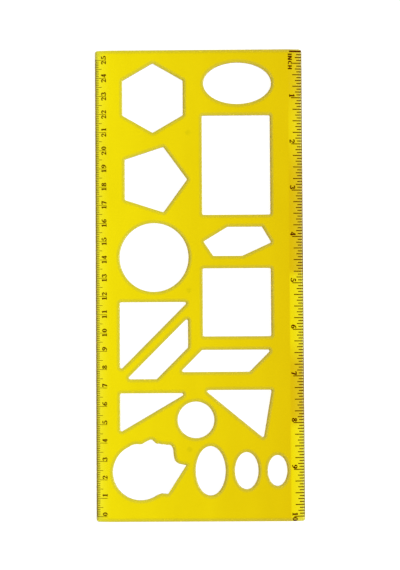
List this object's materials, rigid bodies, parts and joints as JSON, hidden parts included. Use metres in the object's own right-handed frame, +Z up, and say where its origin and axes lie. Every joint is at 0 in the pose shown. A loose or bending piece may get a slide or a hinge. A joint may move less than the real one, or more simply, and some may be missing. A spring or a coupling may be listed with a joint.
{
  "type": "geometric shape template",
  "caption": "Flat translucent drawing template with geometric, elliptical and head-profile cut-outs to trace through, and bevelled edges printed with centimetre and inch scales.",
  "frame": {"origin": "middle of the underside's bounding rectangle, on the surface that the template lies on", "axes": "+Z up out of the printed face, +Y along the long side towards the hexagon, +X across towards the inch scale"},
  "size_m": [0.1138, 0.2582, 0.0021],
  "materials": {
    "sheet_plastic": "glossy translucent yellow moulded plastic",
    "printing_ink": "thin dark brown printing ink"
  },
  "bodies": {
    "root": {"cm_graduation": "printing_ink", "cm_numeral_0": "printing_ink", "cm_numeral_1": "printing_ink", "cm_numeral_10_ones": "printing_ink", "cm_numeral_10_tens": "printing_ink", "cm_numeral_11_ones": "printing_ink", "cm_numeral_11_tens": "printing_ink", "cm_numeral_12_ones": "printing_ink", "cm_numeral_12_tens": "printing_ink", "cm_numeral_13_ones": "printing_ink", "cm_numeral_13_tens": "printing_ink", "cm_numeral_14_ones": "printing_ink", "cm_numeral_14_tens": "printing_ink", "cm_numeral_15_ones": "printing_ink", "cm_numeral_15_tens": "printing_ink", "cm_numeral_16_ones": "printing_ink", "cm_numeral_16_tens": "printing_ink", "cm_numeral_17_ones": "printing_ink", "cm_numeral_17_tens": "printing_ink", "cm_numeral_18_ones": "printing_ink", "cm_numeral_18_tens": "printing_ink", "cm_numeral_19_ones": "printing_ink", "cm_numeral_19_tens": "printing_ink", "cm_numeral_2": "printing_ink", "cm_numeral_20_ones": "printing_ink", "cm_numeral_20_tens": "printing_ink", "cm_numeral_21_ones": "printing_ink", "cm_numeral_21_tens": "printing_ink", "cm_numeral_22_ones": "printing_ink", "cm_numeral_22_tens": "printing_ink", "cm_numeral_23_ones": "printing_ink", "cm_numeral_23_tens": "printing_ink", "cm_numeral_24_ones": "printing_ink", "cm_numeral_24_tens": "printing_ink", "cm_numeral_25_ones": "printing_ink", "cm_numeral_25_tens": "printing_ink", "cm_numeral_3": "printing_ink", "cm_numeral_4": "printing_ink", "cm_numeral_5": "printing_ink", "cm_numeral_6": "printing_ink", "cm_numeral_7": "printing_ink", "cm_numeral_8": "printing_ink", "cm_numeral_9": "printing_ink", "inch_graduation": "printing_ink", "inch_numeral_1": "printing_ink", "inch_numeral_10_ones": "printing_ink", "inch_numeral_10_tens": "printing_ink", "inch_numeral_2": "printing_ink", "inch_numeral_3": "printing_ink", "inch_numeral_4": "printing_ink", "inch_numeral_5": "printing_ink", "inch_numeral_6": "printing_ink", "inch_numeral_7": "printing_ink", "inch_numeral_8": "printing_ink", "inch_numeral_9": "printing_ink", "template_sheet": "sheet_plastic", "unit_letter_C": "printing_ink", "unit_letter_H": "printing_ink", "unit_letter_I": "printing_ink", "unit_letter_N": "printing_ink"}
  },
  "joints": []
}
